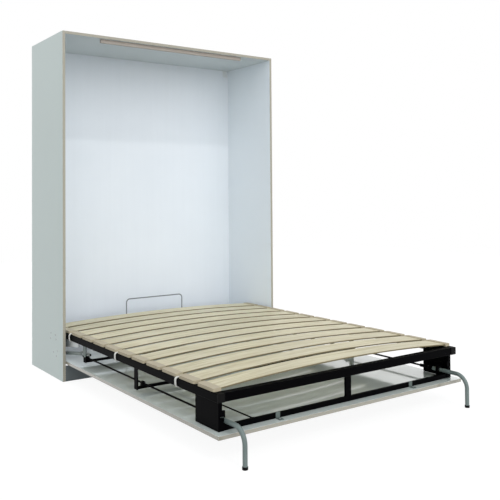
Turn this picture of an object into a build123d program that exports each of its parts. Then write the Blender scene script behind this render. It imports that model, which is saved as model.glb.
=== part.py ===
from build123d import *
import os
from math import atan2, cos, hypot, sin

# A vertical wall bed, shown open: a shallow white cabinet against the wall and a slatted steel
# frame, carrying the cabinet's door as its underside, that folds up into it on a side pivot.
# Millimetres. X is across the bed, +Y points at the wall, Z is up. The origin is on the floor
# under the middle of the open bed.

# Cabinet boards
cabinet_width = 1650
cabinet_depth = 580
board = 18
back_board = 10
plinth_height = 95
board_edge = 1
batten_leg_gap = 9
batten_height = 24
batten_setback = 24

# Bed pivot and the door that the bed carries
pivot_height = 218
door_under = 108
door_board = 18
door_side_gap = 3
door_lip = 24
door_plinth_gap = 20

# Steel frame
rail = 40
rail_wall = 2
rail_corner = 4
rail_under = 258
rail_side_gap = 15
cap_plate = 3
cap_plug = 14
cap_ease = 0.2
head_floor_gap = 28

# Slats and their holders
slat_count = 12
slat_width = 128
slat_gap = 38
slat_thickness = 8
slat_rise_head = 24
slat_rise_foot = 32
slat_inset = 7
slat_edge = 2
slat_head_margin = 23
slat_foot_margin = 42
holder_base = 3
holder_wall = 5
holder_top = 3
holder_length = 40
holder_end = 4
holder_corner = 9
slat_ease = 0.3

# Braces under the slats
brace_tube = 14
brace_wall = 1.5
brace_lift = 15
hanger_width = 36
hanger_plate = 6
head_brace_slat = 2
head_brace_inset = 112
mid_brace_slat = 7
mid_brace_inset = 19
stay_spread = 575
stay_radius = 3.5
foot_bar_height = 24
post_width = 34

# Corner plates at the foot
corner_plate = 4
corner_inset = 18
corner_length = 192
leg_flange_gap = 1
corner_door_gap = 1
corner_setback = 23
notch_width = 9
notch_height = 41
flange_slot_width = 20
flange_slot_height = 6
flange_slot_rise = 60
bush_plate_setback = 46
bush_plate_margin = 25
bush_plate_height = 72

# Folding legs and the long shafts that turn them
leg_radius = 11
leg_wall = 1.5
leg_bend = 70
leg_height = 168
leg_inset = 19
leg_overhang = 118
leg_top_gap = 4
foot_wall = 2
foot_floor = 7
foot_sleeve = 6
foot_edge = 2
bush_wall = 3
bush_rim = 4
bush_length = 8
shaft_radius = 5
shaft_end = 62
bearing_width = 24
coupling_radius = 9
coupling_wall = 3
coupling_length = 90
coupling_grip = 20
coupling_clear = 40
coupling_taper = 14
crank_reach = 42
crank_width = 14
crank_plate = 6
crank_stud = 4
crank_stud_length = 14

# Pivot plates, pins and arms
pivot_plate = 5
pivot_radius = 8
pivot_collar = 13
pivot_boss = 30
arm_plate = 6
arm_inset = 2
arm_length = 275
arm_tail = 20
arm_waist = 52
arm_waist_out = 60
arm_side_gap = 1
nut_length = 6
strap_notch = 5

# Bolts through the side panels, as (out from the pivot towards the wall, up from it)
pivot_bolt_places = [(99, 57), (22, 55), (105, 21), (8, 28), (-14, -42), (52, -58), (2, -77)]
pivot_plate_outline = [
    (118, 72), (0, 72), (-35, 44), (-44, -42), (-40, -72), (-12, -87), (30, -80), (58, -64), (118, 4),
]
bolt_radius = 3
bolt_head = 6.5
bolt_head_height = 2
bolt_nut = 5
bolt_nut_height = 4

# Gas springs
spring_foot_out = 28
spring_foot_drop = 58
spring_head_out = 365
spring_head_drop = 8
spring_inset = 26
spring_radius = 11
spring_wall = 1.5
spring_rod = 5
spring_body = 250
spring_neck = 7
spring_shoulder = 20
gland = 6
piston_length = 10
piston_start = 40
eye_radius = 11
eye_width = 12
eye_root = 8
stud_radius = 5
bracket_plate = 6
bracket_width = 40
bracket_boss = 16
open_pivot_gap = 1

# Door brackets and screws
bracket_spread = 447
tab_width = 24
tab_plate = 3
tab_foot = 30
screw_radius = 2
screw_depth = 12
screw_head = 4
screw_head_height = 2.5
screw_head_taper = 20

# Mattress hoop and straps
hoop_half_width = 224
hoop_middle = -27
hoop_top = 434
hoop_radius = 4
hoop_bend = 26
hoop_setback = 8
strap_width = 18
strap_thickness = 2
strap_slack = 6
strap_lift = 1.8
strap_round = 12
strap_gaps = (2, 6, 10)

# Wall brackets
wall_bracket_width = 40
wall_bracket_leg = 52
wall_bracket_plate = 3
wall_hole_radius = 4.5
wall_hole_drop = 32
wall_hole_inset = 32

# Fits
running_gap = 0.05
seat_gap = 0.2

# Lengths worked out from the driving sizes, as distances out from the wall
pivot_reach = cabinet_depth + door_under - pivot_height
frame_head = pivot_reach - (pivot_height - head_floor_gap)
slat_pitch = slat_width + slat_gap
slat_field = slat_count * slat_width + (slat_count - 1) * slat_gap
frame_foot = frame_head + slat_head_margin + slat_field + slat_foot_margin
door_head = pivot_reach - (pivot_height - plinth_height - door_plinth_gap)
door_foot = frame_foot + door_lip
leg_reach = frame_foot + leg_overhang
foot_radius = leg_radius + foot_wall
overall_length = leg_reach + foot_radius
cabinet_height = pivot_height + overall_length - pivot_reach + leg_top_gap + board
wall_y = overall_length / 2

# Half widths, heights and places worked out from them
inner_half = cabinet_width / 2 - board
ceiling = cabinet_height - board
door_half = inner_half - door_side_gap
door_top = door_under + door_board
rail_outer = inner_half - rail_side_gap
rail_inner = rail_outer - rail
rail_x = rail_outer - rail / 2
rail_top = rail_under + rail
rail_z = rail_under + rail / 2
slat_half = rail_outer - slat_inset
slat_seat = rail_top + holder_base + seat_gap
brace_bottom = door_top + brace_lift
brace_top = brace_bottom + brace_tube
foot_bar_top = door_top + corner_door_gap + foot_bar_height
leg_x = rail_inner - leg_inset
corner_outer = rail_outer - corner_inset
corner_inner = corner_outer - corner_plate
corner_foot = frame_foot - corner_setback
bush_reach = corner_foot - bush_plate_setback
bush_plate_width = corner_inner - leg_x + bush_plate_margin
bush_radius = leg_radius + bush_wall
bush_collar = bush_radius + bush_rim
corner_flange = corner_outer - leg_x - leg_radius - leg_flange_gap
wall_hole_half_spacing = inner_half - wall_hole_inset
batten_half = leg_x - leg_height - batten_leg_gap
arm_outer = rail_outer - arm_inset
arm_inner = arm_outer - arm_plate
plate_inner = inner_half - pivot_plate
spring_x = rail_outer - spring_inset
spring_foot = (pivot_reach + spring_foot_out, pivot_height - spring_foot_drop)
spring_head = (pivot_reach + spring_head_out, pivot_height - spring_head_drop)
spring_run = spring_head[0] - spring_foot[0]
spring_climb = spring_head[1] - spring_foot[1]
spring_length = hypot(spring_run, spring_climb)
spring_slope = atan2(spring_climb, spring_run)
bracket_inner = arm_outer - bracket_plate
sides = {"left": -1, "right": 1}


def out(distance):
    """Y of a place this far out from the wall."""
    return wall_y - distance


def slat_start(index):
    """Distance from the wall to the head-side edge of a slat, counted from the head."""
    return frame_head + slat_head_margin + index * slat_pitch


def slat_rise(index):
    """Height of a slat's bow, growing from the head to the foot."""
    return slat_rise_head + (slat_rise_foot - slat_rise_head) * index / (slat_count - 1)


def save(builder, node):
    """Label a finished piece and write it."""
    builder.part.label = node
    export_step(builder.part, f"parts/{node}.step")


def across(x):
    """Plane square to X, its own axes along Y and Z."""
    return Plane.YZ.offset(x)


def facing_foot(distance):
    """Plane square to Y at a distance from the wall, extruding towards the foot."""
    return Plane.XZ.offset(-out(distance))


head_brace_reach = slat_start(head_brace_slat) + head_brace_inset
mid_brace_reach = slat_start(mid_brace_slat) + mid_brace_inset
foot_bar_reach = corner_foot - corner_plate - brace_tube / 2
brace_reaches = (head_brace_reach, mid_brace_reach)
shaft_head = head_brace_reach - shaft_end
coupling_foot = bush_reach - corner_plate - coupling_clear
coupling_head = coupling_foot - coupling_length
bolt_places = [(pivot_reach - towards, pivot_height + up) for towards, up in pivot_bolt_places]
tab_faces = [reach + brace_tube / 2 for reach in (head_brace_reach, mid_brace_reach, foot_bar_reach)]
tab_rows = [(sign * bracket_spread, face) for face in tab_faces for sign in (-1, 1)]

os.makedirs("parts", exist_ok=True)

# Cabinet sides, drilled for the pivot bolts
for side, sign in sides.items():
    with BuildPart() as side_panel:
        with Locations((sign * (inner_half + board / 2), out(cabinet_depth / 2), cabinet_height / 2)):
            Box(board, cabinet_depth, cabinet_height)
        fillet(side_panel.edges(), board_edge)
        with BuildSketch(across(sign * inner_half)):
            with Locations([(out(reach), height) for reach, height in bolt_places]):
                Circle(bolt_radius + running_gap)
        extrude(amount=sign * board, mode=Mode.SUBTRACT)
    save(side_panel, f"side_panel_{side}")

# Top board between the sides
with BuildPart() as top_panel:
    with Locations((0, out(cabinet_depth / 2), ceiling + board / 2)):
        Box(2 * inner_half, cabinet_depth, board)
    fillet(top_panel.edges(), board_edge)
save(top_panel, "top_panel")

# Back board, drilled for the two wall screws
with BuildPart() as back_panel:
    with Locations((0, out(back_board / 2), ceiling / 2)):
        Box(2 * inner_half, back_board, ceiling)
    with BuildSketch(facing_foot(0)):
        with Locations([(sign * wall_hole_half_spacing, ceiling - wall_hole_drop) for sign in (-1, 1)]):
            Circle(wall_hole_radius)
    extrude(amount=back_board, mode=Mode.SUBTRACT)
save(back_panel, "back_panel")

# Plinth under the door
with BuildPart() as plinth_board:
    with Locations((0, out(cabinet_depth - board / 2), plinth_height / 2)):
        Box(2 * inner_half, board, plinth_height)
    fillet(plinth_board.edges(), board_edge)
save(plinth_board, "plinth_board")

# Batten under the top board, short enough to clear the folded legs
with BuildPart() as top_batten:
    with Locations((0, out(cabinet_depth - batten_setback - board / 2), ceiling - batten_height / 2)):
        Box(2 * batten_half, board, batten_height)
    fillet(top_batten.edges(), board_edge)
save(top_batten, "top_batten")

# Angle brackets that hold the cabinet to the wall
with BuildPart() as wall_brackets:
    for sign in (-1, 1):
        with BuildSketch(across(sign * wall_hole_half_spacing - wall_bracket_width / 2)):
            with BuildLine():
                Polyline(
                    (out(back_board), ceiling),
                    (out(back_board + wall_bracket_leg), ceiling),
                    (out(back_board + wall_bracket_leg), ceiling - wall_bracket_plate),
                    (out(back_board + wall_bracket_plate), ceiling - wall_bracket_plate),
                    (out(back_board + wall_bracket_plate), ceiling - wall_bracket_leg),
                    (out(back_board), ceiling - wall_bracket_leg),
                    close=True,
                )
            make_face()
        extrude(amount=wall_bracket_width)
    with BuildSketch(facing_foot(back_board)):
        with Locations([(sign * wall_hole_half_spacing, ceiling - wall_hole_drop) for sign in (-1, 1)]):
            Circle(wall_hole_radius)
    extrude(amount=wall_bracket_plate, mode=Mode.SUBTRACT)
save(wall_brackets, "wall_brackets")

# Pivot plates on the inside of the cabinet sides, clear of the door's swing
for side, sign in sides.items():
    with BuildPart() as pivot_side:
        with BuildSketch(across(sign * plate_inner)):
            with BuildLine():
                Polyline(
                    [(out(pivot_reach - towards), pivot_height + up) for towards, up in pivot_plate_outline],
                    close=True,
                )
            make_face()
            with Locations([(out(reach), height) for reach, height in bolt_places]):
                Circle(bolt_radius + running_gap, mode=Mode.SUBTRACT)
        extrude(amount=sign * pivot_plate)
    save(pivot_side, f"pivot_plate_{side}")

# Pivot pins: a collar against the plate, the journal for the arm and a nut inside it
with BuildPart() as pivot_pins:
    for sign in (-1, 1):
        for radius, start, end in (
            (pivot_collar, plate_inner, arm_outer + arm_side_gap),
            (pivot_radius, arm_outer + arm_side_gap, arm_inner - arm_side_gap),
            (pivot_collar, arm_inner - arm_side_gap, arm_inner - arm_side_gap - nut_length),
        ):
            with BuildSketch(across(sign * start)):
                with Locations((out(pivot_reach), pivot_height)):
                    Circle(radius)
            extrude(amount=sign * (end - start))
save(pivot_pins, "pivot_pins")

# Bolts with a low head outside the cabinet and a nut inside the pivot plate
with BuildPart() as pivot_bolts:
    for sign in (-1, 1):
        for radius, start, end in (
            (bolt_head, cabinet_width / 2 + bolt_head_height, cabinet_width / 2),
            (bolt_radius, cabinet_width / 2, plate_inner),
            (bolt_nut, plate_inner, plate_inner - bolt_nut_height),
        ):
            with BuildSketch(across(sign * start)):
                with Locations([(out(reach), height) for reach, height in bolt_places]):
                    Circle(radius)
            extrude(amount=sign * (end - start))
save(pivot_bolts, "pivot_bolts")

# Studs on the pivot plates that carry the feet of the gas springs
with BuildPart() as spring_studs:
    for sign in (-1, 1):
        with BuildSketch(across(sign * plate_inner)):
            with Locations((out(spring_foot[0]), spring_foot[1])):
                Circle(stud_radius)
        extrude(amount=-sign * (plate_inner - spring_x + eye_width / 2 + arm_side_gap))
save(spring_studs, "spring_studs")

# Side rails of square tube
for side, sign in sides.items():
    with BuildPart() as side_rail:
        with BuildSketch(facing_foot(frame_head + cap_plate)):
            with Locations((sign * rail_x, rail_z)):
                RectangleRounded(rail, rail, rail_corner)
                RectangleRounded(
                    rail - 2 * rail_wall, rail - 2 * rail_wall, rail_corner - rail_wall, mode=Mode.SUBTRACT
                )
        extrude(amount=frame_foot - frame_head - 2 * cap_plate)
    save(side_rail, f"side_rail_{side}")

# Head and foot rails between the side rails
for name, reach in {"head": frame_head + rail / 2, "foot": frame_foot - rail / 2}.items():
    with BuildPart() as cross_rail:
        with BuildSketch(across(-rail_inner)):
            with Locations((out(reach), rail_z)):
                RectangleRounded(rail, rail, rail_corner)
                RectangleRounded(
                    rail - 2 * rail_wall, rail - 2 * rail_wall, rail_corner - rail_wall, mode=Mode.SUBTRACT
                )
        extrude(amount=2 * rail_inner)
    save(cross_rail, f"{name}_rail")

# Plugs that close the side rails
with BuildPart() as rail_end_caps:
    plug = rail - 2 * rail_wall - 2 * cap_ease
    for sign in (-1, 1):
        for reach, inward in ((frame_head, 1), (frame_foot, -1)):
            with BuildSketch(facing_foot(reach)):
                with Locations((sign * rail_x, rail_z)):
                    RectangleRounded(rail, rail, rail_corner)
            extrude(amount=inward * cap_plate)
            with BuildSketch(facing_foot(reach + inward * cap_plate)):
                with Locations((sign * rail_x, rail_z)):
                    RectangleRounded(plug, plug, rail_corner - rail_wall)
            extrude(amount=inward * cap_plug)
save(rail_end_caps, "rail_end_caps")

# Arms that hang under the side rails and turn on the pivot pins
with BuildPart() as pivot_arms:
    arm_head = pivot_reach - pivot_boss
    arm_foot = pivot_reach + arm_length
    for sign in (-1, 1):
        with BuildSketch(across(sign * arm_inner)):
            with BuildLine():
                Polyline(
                    (out(arm_head), rail_under),
                    (out(arm_foot), rail_under),
                    (out(arm_foot), rail_under - arm_tail),
                    (out(pivot_reach + arm_waist_out), rail_under - arm_waist),
                    (out(pivot_reach), pivot_height - pivot_boss),
                    (out(arm_head), pivot_height),
                    close=True,
                )
            make_face()
            with Locations((out(pivot_reach), pivot_height)):
                Circle(pivot_boss)
                Circle(pivot_radius + running_gap, mode=Mode.SUBTRACT)
            with Locations((out(slat_start(strap_gaps[0]) - slat_gap / 2), rail_under)):
                Rectangle(slat_gap, 2 * strap_notch, mode=Mode.SUBTRACT)
        extrude(amount=sign * arm_plate)
save(pivot_arms, "pivot_arms")

# Brackets under the side rails, each with a stud beside the head of a gas spring
with BuildPart() as spring_brackets:
    for sign in (-1, 1):
        with BuildSketch(across(sign * bracket_inner)):
            with Locations((out(spring_head[0]), (rail_under + spring_head[1]) / 2)):
                Rectangle(bracket_width, rail_under - spring_head[1])
            with Locations((out(spring_head[0]), spring_head[1])):
                Circle(bracket_boss)
        extrude(amount=sign * bracket_plate)
        with BuildSketch(across(sign * bracket_inner)):
            with Locations((out(spring_head[0]), spring_head[1])):
                Circle(stud_radius)
        extrude(amount=-sign * (bracket_inner - spring_x - eye_width / 2 - open_pivot_gap))
save(spring_brackets, "spring_brackets")

# Corner plates at the foot: a web under the side rail, a narrow flange that ends it, and a cross
# plate behind the lower bar that holds the leg's bush
for side, sign in sides.items():
    plate_bottom = door_top + corner_door_gap
    plate_height = rail_under - plate_bottom
    with BuildPart() as corner:
        with BuildSketch(Plane.XY.offset(plate_bottom)):
            with Locations((sign * (corner_outer - corner_plate / 2), out(corner_foot - corner_length / 2))):
                Rectangle(corner_plate, corner_length)
            with Locations((sign * (corner_outer - corner_flange / 2), out(corner_foot - corner_plate / 2))):
                Rectangle(corner_flange, corner_plate)
        extrude(amount=plate_height)
        with BuildSketch(facing_foot(corner_foot - corner_plate)):
            notch_middle = corner_outer - corner_flange + notch_width / 2
            with Locations((sign * notch_middle, rail_under - notch_height / 2)):
                Rectangle(notch_width, notch_height)
            slot_middle = corner_outer - corner_flange + flange_slot_width / 2
            with Locations((sign * slot_middle, plate_bottom + flange_slot_rise)):
                Rectangle(flange_slot_width, flange_slot_height)
        extrude(amount=corner_plate, mode=Mode.SUBTRACT)
        with BuildSketch(facing_foot(bush_reach - corner_plate)):
            bush_plate_middle = corner_inner - bush_plate_width / 2
            with Locations((sign * bush_plate_middle, plate_bottom + bush_plate_height / 2)):
                Rectangle(bush_plate_width, bush_plate_height)
            with Locations((sign * leg_x, leg_height)):
                Circle(bush_radius + running_gap, mode=Mode.SUBTRACT)
        extrude(amount=corner_plate)
    save(corner, f"corner_plate_{side}")

# Lower bar between the corner plates, and the short post that ties it to the foot rail
with BuildPart() as foot_crossbar:
    with BuildSketch(across(-corner_inner)):
        with Locations((out(foot_bar_reach), foot_bar_top - foot_bar_height / 2)):
            Rectangle(brace_tube, foot_bar_height)
            Rectangle(brace_tube - 2 * brace_wall, foot_bar_height - 2 * brace_wall, mode=Mode.SUBTRACT)
    extrude(amount=2 * corner_inner)
save(foot_crossbar, "foot_crossbar")

with BuildPart() as foot_post:
    with BuildSketch(Plane.XY.offset(foot_bar_top)):
        with Locations((0, out(foot_bar_reach))):
            Rectangle(post_width, brace_tube)
            Rectangle(post_width - 2 * brace_wall, brace_tube - 2 * brace_wall, mode=Mode.SUBTRACT)
    extrude(amount=rail_under - foot_bar_top)
save(foot_post, "foot_post")

# Braces across the bed above the door, and the flat hangers that carry them: the head brace from
# the inner faces of the rails, the mid brace from under their middles
hangers = {
    "head": (head_brace_reach, rail_inner - hanger_plate / 2, rail_z),
    "mid": (mid_brace_reach, rail_x, rail_under),
}
for name, (reach, hanger_x, hanger_top) in hangers.items():
    brace_half = hanger_x - hanger_plate / 2
    with BuildPart() as brace:
        with BuildSketch(across(-brace_half)):
            with Locations((out(reach), brace_bottom + brace_tube / 2)):
                Rectangle(brace_tube, brace_tube)
                Rectangle(brace_tube - 2 * brace_wall, brace_tube - 2 * brace_wall, mode=Mode.SUBTRACT)
        extrude(amount=2 * brace_half)
    save(brace, f"{name}_brace")

with BuildPart() as brace_hangers:
    for reach, hanger_x, hanger_top in hangers.values():
        hanger_z = (brace_bottom + hanger_top) / 2
        with Locations([(sign * hanger_x, out(reach), hanger_z) for sign in (-1, 1)]):
            Box(hanger_plate, hanger_width, hanger_top - brace_bottom)
save(brace_hangers, "brace_hangers")

# Long stay between the mid brace and the lower foot bar, on the left only
with BuildPart() as stay_rod:
    stay_head = mid_brace_reach + brace_tube / 2
    with BuildSketch(facing_foot(stay_head)):
        with Locations((-stay_spread, foot_bar_top - brace_wall - stay_radius)):
            Circle(stay_radius)
    extrude(amount=foot_bar_reach - brace_tube / 2 - stay_head)
save(stay_rod, "stay_rod")

# Slat holders: a cap on each end of each slat that sits on the rail, its pocket cut by the slat
holder_width = slat_width + 2 * slat_ease + 2 * holder_wall
holder_tip = slat_half + holder_end
holder_inner = holder_tip - holder_length
slat_middle = slat_seat + slat_thickness / 2
holder_over = slat_middle + slat_thickness / 2 + slat_ease + holder_top
for side, sign in sides.items():
    holders = []
    for index in range(slat_count):
        holder_climb = slat_rise(index) * (1 - (holder_inner / slat_half) ** 2)
        slat_top = slat_middle + slat_rise(index)
        with BuildPart() as holder:
            with BuildSketch(facing_foot(slat_start(index) + (slat_width - holder_width) / 2)):
                with BuildLine():
                    Polyline(
                        (sign * holder_tip, rail_top),
                        (sign * holder_tip, holder_over),
                        (sign * holder_inner, holder_over + holder_climb),
                        (sign * holder_inner, rail_top + holder_climb),
                        (sign * rail_inner, rail_top),
                        close=True,
                    )
                make_face()
            extrude(amount=holder_width)
            uprights = holder.edges().filter_by(Axis.Z).group_by(Axis.X)
            fillet(uprights[-1 if sign > 0 else 0], holder_corner)
            with BuildLine(facing_foot(slat_start(index) + slat_width / 2)) as bow:
                ThreePointArc((-slat_half, slat_middle), (0, slat_top), (slat_half, slat_middle))
            with BuildSketch(Plane(origin=bow.line @ 0, x_dir=(0, 1, 0), z_dir=bow.line % 0)):
                Rectangle(slat_width + 2 * slat_ease, slat_thickness + 2 * slat_ease)
            sweep(path=bow.line, mode=Mode.SUBTRACT)
        holders.append(holder.part)
    with BuildPart() as slat_holders:
        for holder in holders:
            add(holder)
    save(slat_holders, f"slat_holders_{side}")

# Sprung slats, bowed upwards, counted from the head
for index in range(slat_count):
    with BuildPart() as slat:
        with BuildLine(facing_foot(slat_start(index) + slat_width / 2)) as bow:
            slat_top = slat_middle + slat_rise(index)
            ThreePointArc((-slat_half, slat_middle), (0, slat_top), (slat_half, slat_middle))
        with BuildSketch(Plane(origin=bow.line @ 0, x_dir=(0, 1, 0), z_dir=bow.line % 0)):
            RectangleRounded(slat_width, slat_thickness, slat_edge)
        sweep(path=bow.line)
    save(slat, f"slat_{index + 1:02d}")

# Wire hoop on the head rail that keeps the mattress from sliding
with BuildPart() as mattress_hoop:
    hoop_reach = frame_head + hoop_setback
    with BuildLine(facing_foot(hoop_reach)) as hoop_path:
        FilletPolyline(
            (hoop_middle - hoop_half_width, rail_top),
            (hoop_middle - hoop_half_width, hoop_top - hoop_radius),
            (hoop_middle + hoop_half_width, hoop_top - hoop_radius),
            (hoop_middle + hoop_half_width, rail_top),
            radius=hoop_bend,
        )
    with BuildSketch(Plane(origin=hoop_path.line @ 0, z_dir=hoop_path.line % 0)):
        Circle(hoop_radius)
    sweep(path=hoop_path.line)
save(mattress_hoop, "mattress_hoop")

# Webbing straps that hang loosely round the side rails, between slats
with BuildPart() as mattress_straps:
    strap_wide = rail + 2 * strap_slack
    strap_tall = rail + 2 * strap_lift
    for gap in strap_gaps:
        with BuildSketch(facing_foot(slat_start(gap) - slat_gap / 2 - strap_width / 2)):
            with Locations([(sign * rail_x, rail_z) for sign in (-1, 1)]):
                RectangleRounded(
                    strap_wide + 2 * strap_thickness,
                    strap_tall + 2 * strap_thickness,
                    strap_round + strap_thickness,
                )
                RectangleRounded(strap_wide, strap_tall, strap_round, mode=Mode.SUBTRACT)
        extrude(amount=strap_width)
save(mattress_straps, "mattress_straps")

# Door, which is the underside of the open bed, with pilot holes for its screws
with BuildPart() as door_panel:
    with Locations((0, out((door_head + door_foot) / 2), door_under + door_board / 2)):
        Box(2 * door_half, door_foot - door_head, door_board)
    fillet(door_panel.edges(), board_edge)
    with BuildSketch(Plane.XY.offset(door_top)):
        with Locations([(x, out(face + tab_foot / 2 + tab_plate)) for x, face in tab_rows]):
            Circle(screw_radius + running_gap)
    extrude(amount=-screw_depth - running_gap, mode=Mode.SUBTRACT)
save(door_panel, "door_panel")

# Angle tabs that hold the door to the bars, and their screws
with BuildPart() as door_brackets:
    for x, face in tab_rows:
        with BuildSketch(across(x - tab_width / 2)):
            with BuildLine():
                Polyline(
                    (out(face), brace_top),
                    (out(face + tab_plate), brace_top),
                    (out(face + tab_plate), door_top + tab_plate),
                    (out(face + tab_plate + tab_foot), door_top + tab_plate),
                    (out(face + tab_plate + tab_foot), door_top),
                    (out(face), door_top),
                    close=True,
                )
            make_face()
        extrude(amount=tab_width)
    with BuildSketch(Plane.XY.offset(door_top)):
        with Locations([(x, out(face + tab_foot / 2 + tab_plate)) for x, face in tab_rows]):
            Circle(screw_radius + running_gap)
    extrude(amount=tab_plate, mode=Mode.SUBTRACT)
save(door_brackets, "door_brackets")

with BuildPart() as door_screws:
    screw_places = [(x, out(face + tab_foot / 2 + tab_plate)) for x, face in tab_rows]
    with BuildSketch(Plane.XY.offset(door_top + tab_plate)):
        with Locations(screw_places):
            Circle(screw_radius)
    extrude(amount=-screw_depth - tab_plate)
    with BuildSketch(Plane.XY.offset(door_top + tab_plate)):
        with Locations(screw_places):
            Circle(screw_head)
    extrude(amount=screw_head_height, taper=screw_head_taper)
save(door_screws, "door_screws")

# Plastic bushes in the corner plates, in which the legs turn
with BuildPart() as leg_bushes:
    for radius, start, length in (
        (bush_radius, bush_reach - corner_plate, corner_plate),
        (bush_collar, bush_reach, bush_length),
    ):
        with BuildSketch(facing_foot(start)):
            with Locations([(sign * leg_x, leg_height) for sign in (-1, 1)]):
                Circle(radius)
                Circle(leg_radius + running_gap, mode=Mode.SUBTRACT)
        extrude(amount=length)
save(leg_bushes, "leg_bushes")

# Bearing blocks on the braces, in which the long shafts turn
with BuildPart() as shaft_bearings:
    for reach in brace_reaches:
        with BuildSketch(facing_foot(reach - brace_tube / 2)):
            with Locations([(sign * leg_x, (brace_top + leg_height) / 2) for sign in (-1, 1)]):
                Rectangle(bearing_width, leg_height - brace_top)
            with Locations([(sign * leg_x, leg_height) for sign in (-1, 1)]):
                Circle(bearing_width / 2)
                Circle(shaft_radius + running_gap, mode=Mode.SUBTRACT)
        extrude(amount=brace_tube)
save(shaft_bearings, "shaft_bearings")

# Legs: bent tube, foot cap, coupling and the long shaft with its crank
for side, sign in sides.items():
    with BuildPart() as leg_tube:
        with BuildLine(across(sign * leg_x)) as leg_path:
            FilletPolyline(
                (out(coupling_foot - coupling_grip), leg_height),
                (out(leg_reach), leg_height),
                (out(leg_reach), foot_floor),
                radius=leg_bend,
            )
        with BuildSketch(Plane(origin=leg_path.line @ 0, z_dir=leg_path.line % 0)):
            Circle(leg_radius)
            Circle(leg_radius - leg_wall, mode=Mode.SUBTRACT)
        sweep(path=leg_path.line)
    save(leg_tube, f"leg_tube_{side}")

    with BuildPart() as foot_cap:
        with BuildSketch(Plane.XY):
            with Locations((sign * leg_x, out(leg_reach))):
                Circle(foot_radius)
        extrude(amount=foot_floor + foot_sleeve)
        with BuildSketch(Plane.XY.offset(foot_floor)):
            with Locations((sign * leg_x, out(leg_reach))):
                Circle(leg_radius + running_gap)
        extrude(amount=foot_sleeve, mode=Mode.SUBTRACT)
        fillet(foot_cap.faces().sort_by(Axis.Z)[0].edges(), foot_edge)
    save(foot_cap, f"foot_cap_{side}")

    with BuildPart() as leg_coupling:
        tube_hold = leg_radius + running_gap
        shaft_hold = shaft_radius + running_gap
        grip_head = coupling_foot - coupling_grip
        with BuildSketch(across(sign * leg_x)):
            with BuildLine():
                Polyline(
                    (out(coupling_head), leg_height + shaft_hold),
                    (out(coupling_head), leg_height + coupling_radius),
                    (out(grip_head - coupling_taper), leg_height + coupling_radius),
                    (out(grip_head), leg_height + tube_hold + coupling_wall),
                    (out(coupling_foot), leg_height + tube_hold + coupling_wall),
                    (out(coupling_foot), leg_height + tube_hold),
                    (out(grip_head), leg_height + tube_hold),
                    (out(grip_head), leg_height + shaft_hold),
                    close=True,
                )
            make_face()
        revolve(axis=Axis((sign * leg_x, 0, leg_height), (0, 1, 0)))
    save(leg_coupling, f"leg_coupling_{side}")

    with BuildPart() as leg_shaft:
        with BuildSketch(facing_foot(shaft_head)):
            with Locations((sign * leg_x, leg_height)):
                Circle(shaft_radius)
        extrude(amount=coupling_foot - coupling_grip - shaft_head)
        crank_tip = leg_x - crank_reach
        with BuildSketch(facing_foot(shaft_head)):
            with Locations((sign * (leg_x + crank_tip) / 2, leg_height)):
                SlotOverall(crank_reach + crank_width, crank_width)
        extrude(amount=crank_plate)
        with BuildSketch(facing_foot(shaft_head)):
            with Locations((sign * crank_tip, leg_height)):
                Circle(crank_stud)
        extrude(amount=-crank_stud_length)
    save(leg_shaft, f"leg_shaft_{side}")

# Gas springs: each body turns on its stud and each rod slides in its body
for side, sign in sides.items():
    spring_plane = Plane(
        origin=(sign * spring_x, out(spring_foot[0]), spring_foot[1]),
        x_dir=(0, -cos(spring_slope), sin(spring_slope)),
        z_dir=(1, 0, 0),
    )
    spring_axis = Axis(spring_plane.origin, spring_plane.x_dir)
    rod_hold = spring_rod + running_gap
    bore = spring_radius - spring_wall
    with BuildPart() as gas_body:
        with BuildSketch(spring_plane):
            with BuildLine():
                Polyline(
                    (eye_root, 0),
                    (eye_root, spring_neck),
                    (spring_shoulder, spring_neck),
                    (spring_shoulder, spring_radius),
                    (spring_body, spring_radius),
                    (spring_body, rod_hold),
                    (spring_body - gland, rod_hold),
                    (spring_body - gland, bore),
                    (spring_shoulder + gland, bore),
                    (spring_shoulder + gland, 0),
                    close=True,
                )
            make_face()
        revolve(axis=spring_axis)
        with BuildSketch(spring_plane.offset(-eye_width / 2)):
            Circle(eye_radius)
        extrude(amount=eye_width)
        with BuildSketch(spring_plane.offset(-eye_width / 2)):
            Circle(stud_radius + running_gap)
        extrude(amount=eye_width, mode=Mode.SUBTRACT)
    save(gas_body, f"gas_spring_body_{side}")

    with BuildPart() as gas_rod:
        rod_end = spring_length - eye_root
        with BuildSketch(spring_plane):
            with BuildLine():
                Polyline(
                    (piston_start, 0),
                    (piston_start, bore - running_gap),
                    (piston_start + piston_length, bore - running_gap),
                    (piston_start + piston_length, spring_rod),
                    (rod_end, spring_rod),
                    (rod_end, 0),
                    close=True,
                )
            make_face()
        revolve(axis=spring_axis)
        with BuildSketch(spring_plane.offset(-eye_width / 2)):
            with Locations((spring_length, 0)):
                Circle(eye_radius)
        extrude(amount=eye_width)
        with BuildSketch(spring_plane.offset(-eye_width / 2)):
            with Locations((spring_length, 0)):
                Circle(stud_radius + running_gap)
        extrude(amount=eye_width, mode=Mode.SUBTRACT)
    save(gas_rod, f"gas_spring_rod_{side}")
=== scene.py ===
import math
import bpy
import bmesh
from mathutils import Matrix, Vector


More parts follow.
